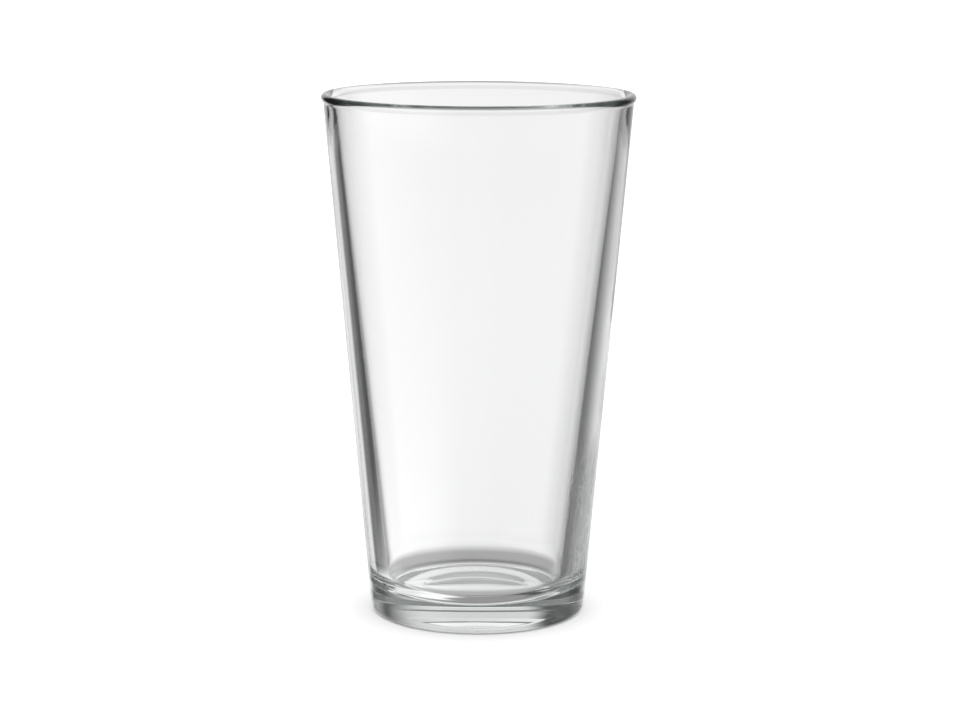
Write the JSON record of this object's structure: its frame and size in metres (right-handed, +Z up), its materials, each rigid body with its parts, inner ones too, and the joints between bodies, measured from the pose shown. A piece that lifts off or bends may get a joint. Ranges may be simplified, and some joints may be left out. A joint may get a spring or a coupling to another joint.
{
  "type": "pint glass",
  "caption": "Tall conical pint glass in clear pressed glass, with a rounded lip, a wall that thickens downwards and a heavy flat-footed base, for holding a drink.",
  "frame": {"origin": "centre of the foot, on the plane that the glass stands on", "axes": "+Z up the glass's axis towards the lip; X and Y are any two level directions, because the glass is turned about Z"},
  "size_m": [0.0888, 0.0888, 0.1492],
  "materials": {
    "clear_glass": "fire-polished gloss"
  },
  "bodies": {
    "root": {"glass": "clear_glass"}
  },
  "joints": []
}
